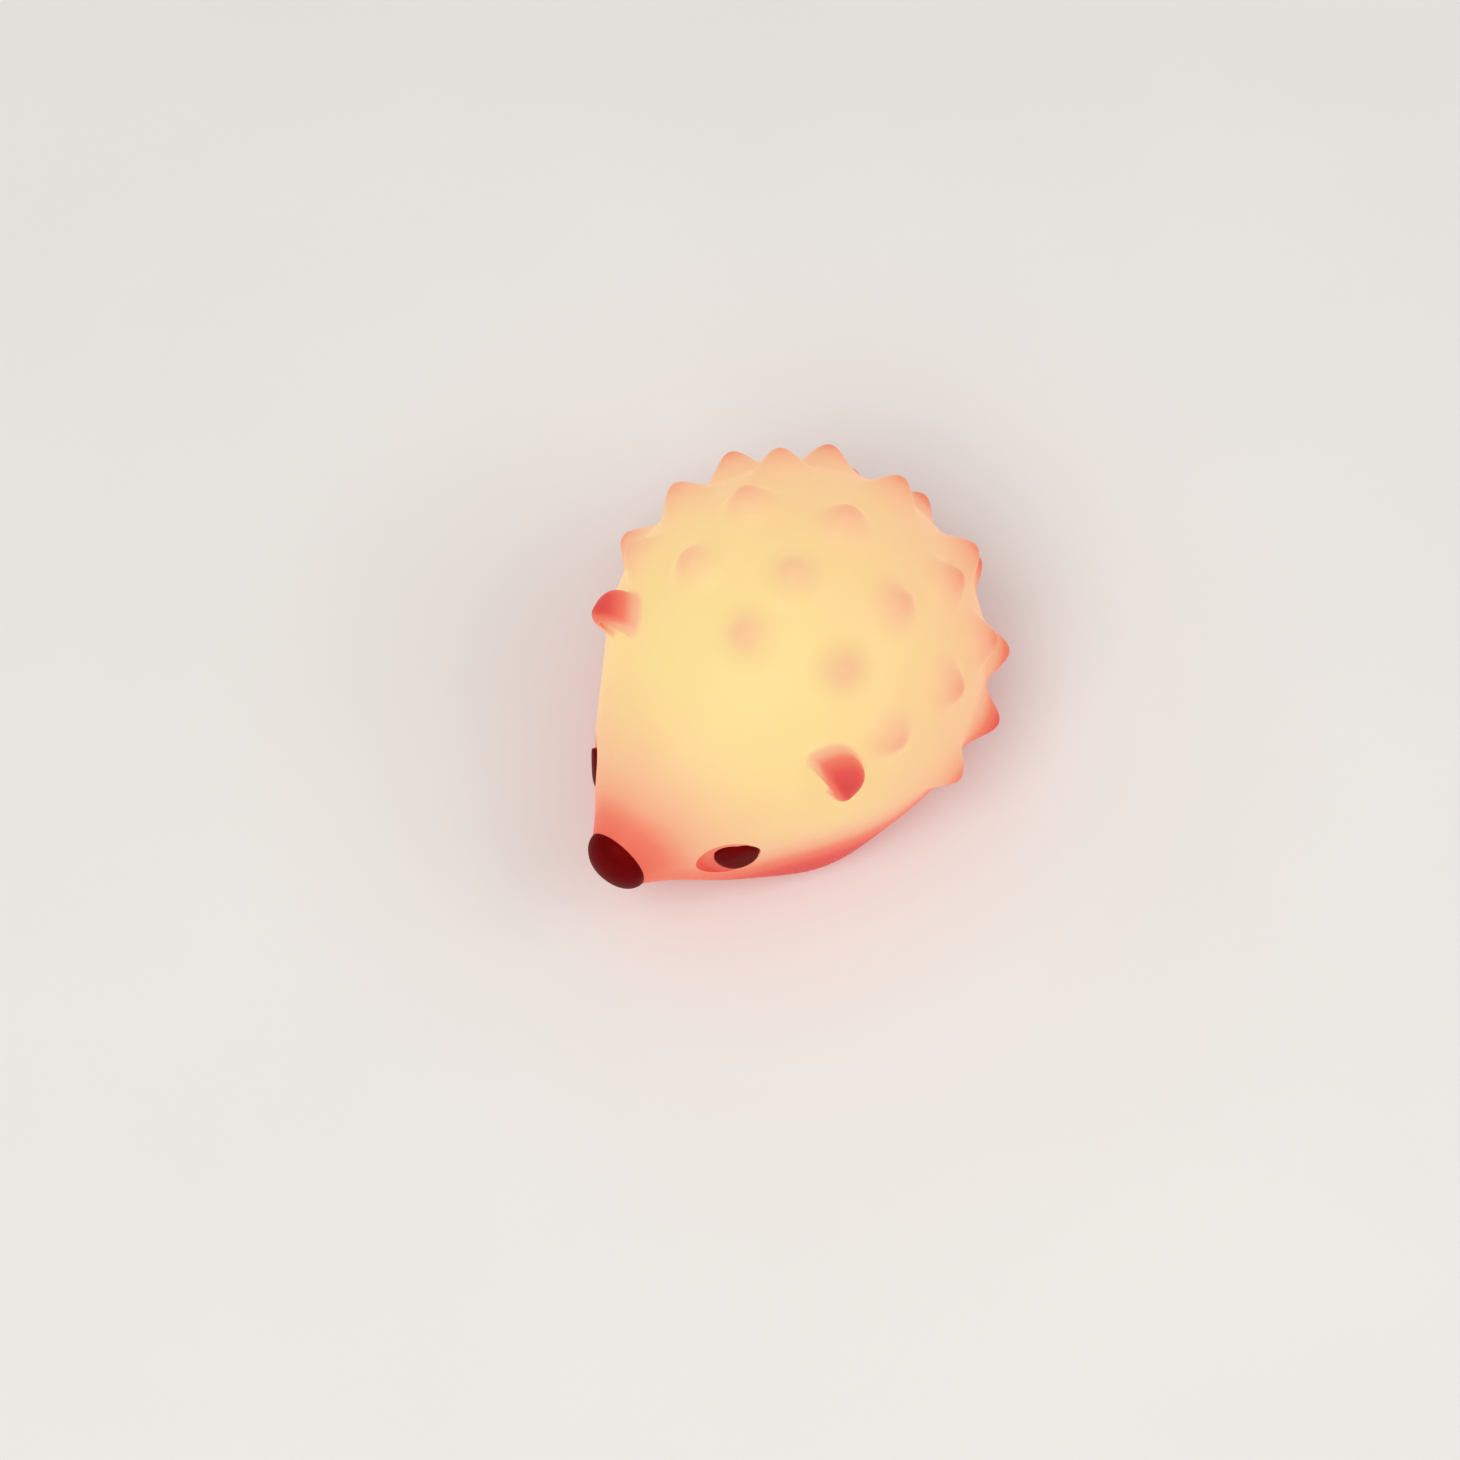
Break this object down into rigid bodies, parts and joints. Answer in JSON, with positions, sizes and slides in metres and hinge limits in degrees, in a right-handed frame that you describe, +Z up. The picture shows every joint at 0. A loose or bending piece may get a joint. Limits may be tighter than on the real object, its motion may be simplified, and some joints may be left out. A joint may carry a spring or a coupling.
{
  "type": "animal-shaped night light",
  "caption": "Soft moulded table night light with a round quilled back, small ears, a tapering muzzle and dark nose and eyes, lit from inside.",
  "frame": {"origin": "middle of the bounding box, on the table under the feet", "axes": "+X towards the animal's left, +Y towards its tail, nose towards -Y, +Z up"},
  "size_m": [0.1064, 0.129, 0.0855],
  "materials": {
    "silicone": "satin translucent silicone, lit warm from inside",
    "black_insert": "semi-gloss",
    "casing": "fine spark-eroded texture",
    "diffuser": "frosted, milky",
    "circuit_board": "green solder mask",
    "light_board": "white solder mask",
    "light": "phosphor under clear resin",
    "cell": "laminated foil pouch",
    "foam": "open-cell foam",
    "steel": "nickel plated",
    "foot": "matt, anti-slip",
    "red_lead": "extruded insulation",
    "black_lead": "extruded insulation",
    "switch": "satin",
    "light_pipe": "clear, polished"
  },
  "bodies": {
    "lamp_body": {"silicone_skin": "silicone", "nose": "black_insert", "eye_left": "black_insert", "eye_right": "black_insert", "base_plate": "casing", "inner_housing": "casing", "diffuser_cap": "diffuser", "control_board": "circuit_board", "light_board": "light_board", "tap_sensor": "steel", "charging_socket": "steel", "charge_light_pipe": "light_pipe", "light_1": "light", "light_2": "light", "light_3": "light", "light_4": "light", "light_5": "light", "light_6": "light", "battery_cell": "cell", "battery_pad_lower": "foam", "battery_pad_upper": "foam", "battery_plug": "light_board", "battery_lead_red": "red_lead", "battery_lead_black": "black_lead", "light_lead": "black_lead", "power_switch_body": "switch", "timer_switch_body": "switch", "foot_1": "foot", "foot_2": "foot", "foot_3": "foot", "foot_4": "foot", "case_screw_1": "steel", "case_screw_2": "steel", "case_screw_3": "steel", "case_screw_4": "steel", "board_screw_1": "steel", "board_screw_2": "steel", "board_screw_3": "steel", "board_screw_4": "steel"},
    "power_knob": {"power_switch_knob": "switch"},
    "timer_key": {"timer_button": "casing", "timer_plunger": "switch"}
  },
  "joints": [
    {"name": "power_slide", "type": "slide", "parent": "lamp_body", "child": "power_knob", "axis": [-1, 0, 0], "range_m": [0, 0.0025]},
    {"name": "timer_press", "type": "slide", "parent": "lamp_body", "child": "timer_key", "axis": [0, 0, 1], "range_m": [0, 0.0008], "stiffness_N_per_m": 1200, "springref_m": -0.0003}
  ]
}
